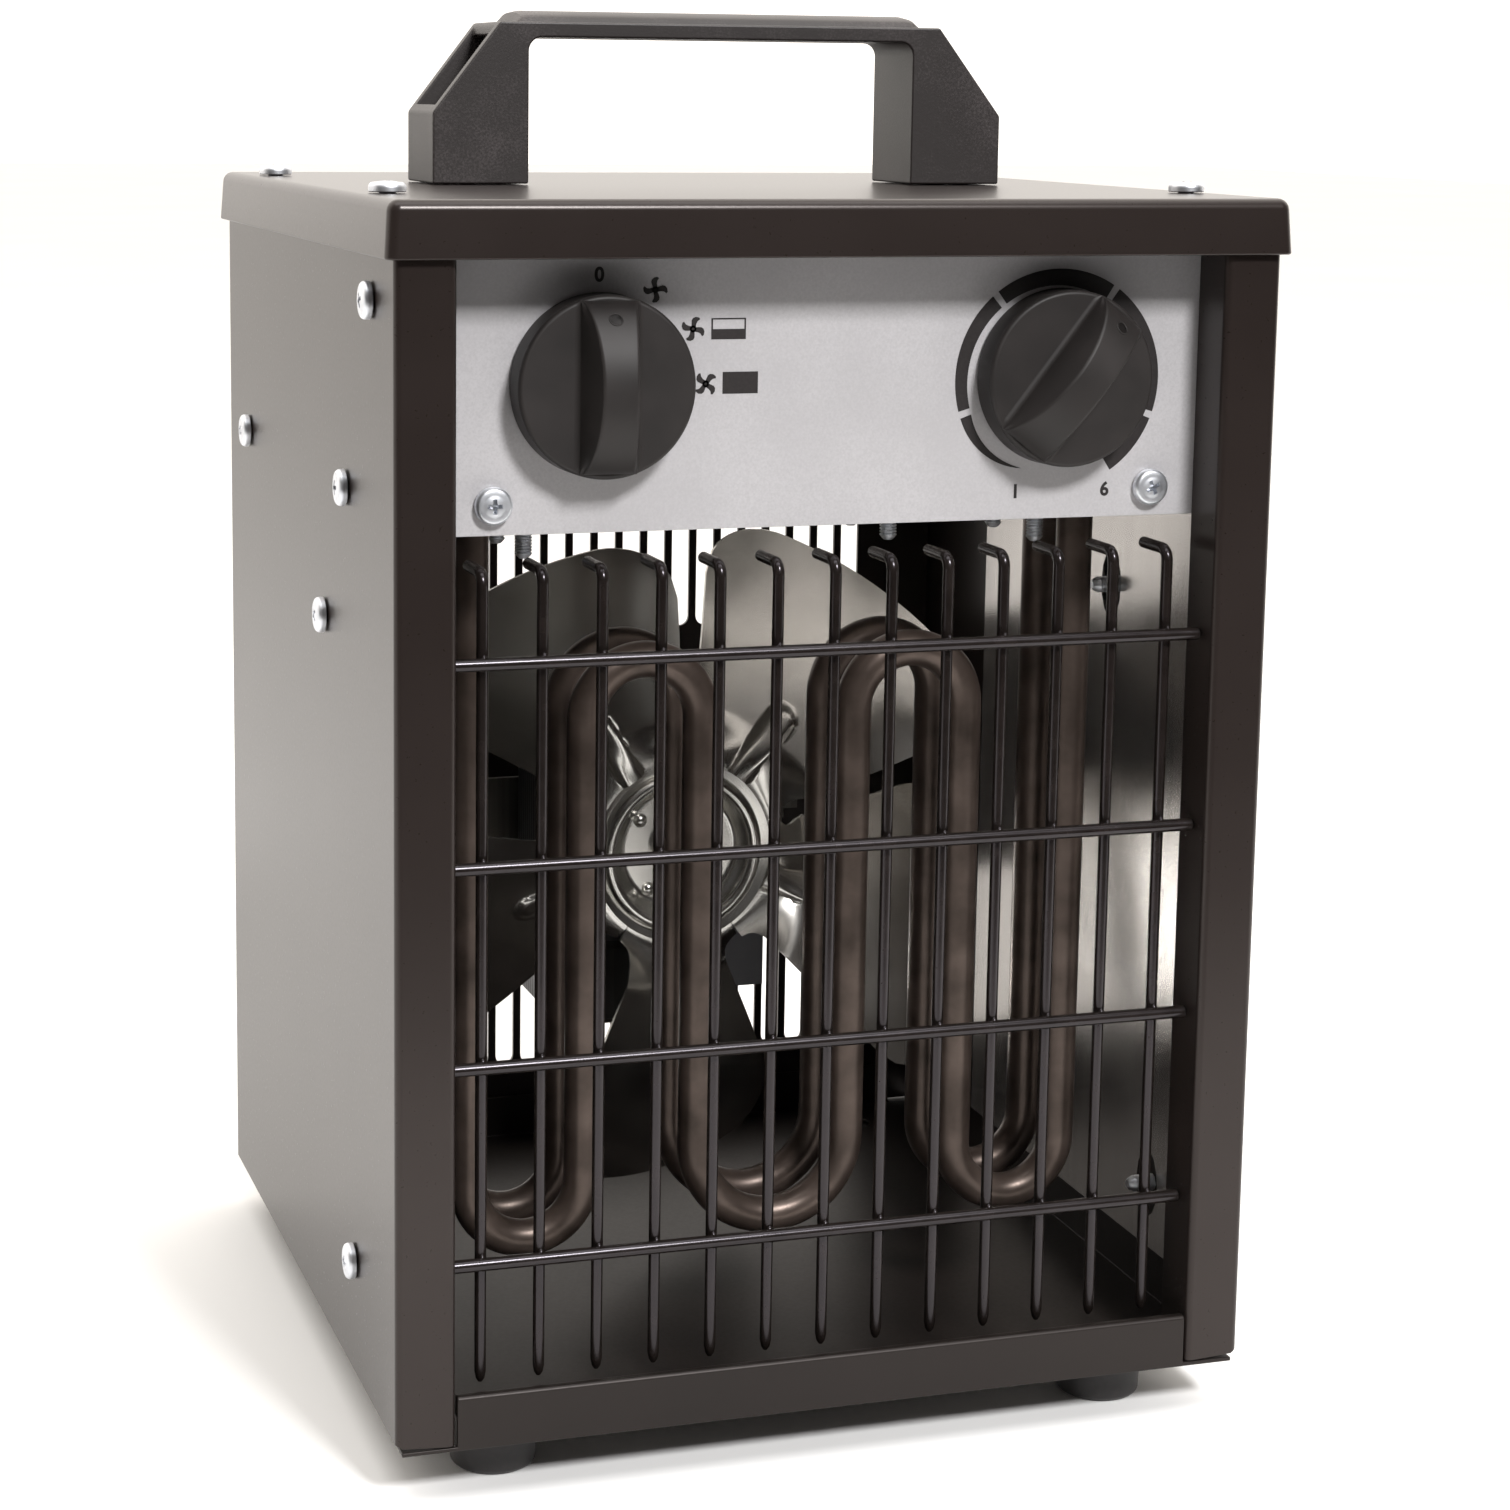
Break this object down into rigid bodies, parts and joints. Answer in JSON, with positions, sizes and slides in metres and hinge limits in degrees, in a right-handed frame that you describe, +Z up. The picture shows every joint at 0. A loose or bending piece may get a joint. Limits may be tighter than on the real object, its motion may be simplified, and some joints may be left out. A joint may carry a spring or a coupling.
{
  "type": "greenhouse fan heater",
  "caption": "Box-shaped electric fan heater with wire guard, tubular elements, control panel with two knobs, carry handle and rubber feet.",
  "frame": {"origin": "middle of the bounding box's footprint, on the floor the feet stand on", "axes": "+Z up; -Y is the front, with the guard and the knobs; +X is to the right of someone facing the front"},
  "size_m": [0.2054, 0.2118, 0.3203],
  "materials": {
    "black_powder_coat": "satin, fine texture",
    "black_plastic": "fine moulded texture",
    "silver_paint": "satin silver",
    "galvanised_steel": "galvanised",
    "black_wire": "gloss",
    "oxidised_steel": "heat-oxidised brown",
    "phenolic": "satin",
    "white_nylon": "satin",
    "zinc_steel": "bright zinc plate",
    "aluminium": "bright rolled sheet",
    "lamination": "stacked sheets",
    "coil_tape": "insulating tape",
    "rubber": "matt"
  },
  "bodies": {
    "casing": {"side_panel_left": "black_powder_coat", "side_panel_right": "black_powder_coat", "base_tray": "black_powder_coat", "rear_panel": "black_powder_coat", "top_cover": "black_powder_coat", "carry_handle": "black_plastic", "control_panel": "silver_paint", "compartment_floor": "galvanised_steel", "element_clamp_left": "galvanised_steel", "element_clamp_right": "galvanised_steel", "duct_liner_left": "galvanised_steel", "duct_liner_right": "galvanised_steel", "motor_mount": "galvanised_steel", "wire_guard": "black_wire", "heating_element_front": "oxidised_steel", "heating_element_rear": "oxidised_steel", "rotary_switch": "phenolic", "thermostat": "phenolic", "thermal_cutout": "phenolic", "terminal_block": "white_nylon", "cable_gland": "black_plastic", "motor_stator": "lamination", "motor_coil": "coil_tape", "motor_bridge_front": "zinc_steel", "motor_bridge_rear": "zinc_steel", "foot_front_left": "rubber", "foot_front_right": "rubber", "foot_rear_left": "rubber", "foot_rear_right": "rubber", "lid_screw_front_left": "zinc_steel", "lid_screw_front_right": "zinc_steel", "lid_screw_rear_left": "zinc_steel", "lid_screw_rear_right": "zinc_steel", "handle_screw_left": "zinc_steel", "handle_screw_right": "zinc_steel", "panel_screw_left": "zinc_steel", "panel_screw_right": "zinc_steel", "clamp_screw_front_left": "zinc_steel", "clamp_screw_front_right": "zinc_steel", "clamp_screw_rear_left": "zinc_steel", "clamp_screw_rear_right": "zinc_steel", "cutout_screw_front": "zinc_steel", "cutout_screw_rear": "zinc_steel", "side_screw_left_1": "zinc_steel", "side_screw_left_2": "zinc_steel", "side_screw_left_3": "zinc_steel", "side_screw_left_4": "zinc_steel", "side_screw_left_5": "zinc_steel", "side_screw_right_1": "zinc_steel", "side_screw_right_2": "zinc_steel", "side_screw_right_3": "zinc_steel", "side_screw_right_4": "zinc_steel", "side_screw_right_5": "zinc_steel"},
    "switch_dial": {"switch_knob": "black_plastic", "switch_spindle": "zinc_steel"},
    "thermostat_dial": {"thermostat_knob": "black_plastic", "thermostat_spindle": "zinc_steel"},
    "fan": {"fan_blades": "aluminium", "fan_hub": "aluminium", "motor_rotor": "zinc_steel"}
  },
  "joints": [
    {"name": "switch_turn", "type": "hinge", "parent": "casing", "child": "switch_dial", "pos_m": [-0.053, -0.0878, 0.2404], "axis": [0, 1, 0], "range_deg": [0, 90]},
    {"name": "thermostat_turn", "type": "hinge", "parent": "casing", "child": "thermostat_dial", "pos_m": [0.053, -0.0878, 0.2404], "axis": [0, 1, 0], "range_deg": [-188, 112]},
    {"name": "fan_spin", "type": "hinge", "parent": "casing", "child": "fan", "pos_m": [0, 0.0139, 0.1114], "axis": [0, 1, 0], "continuous": true}
  ]
}
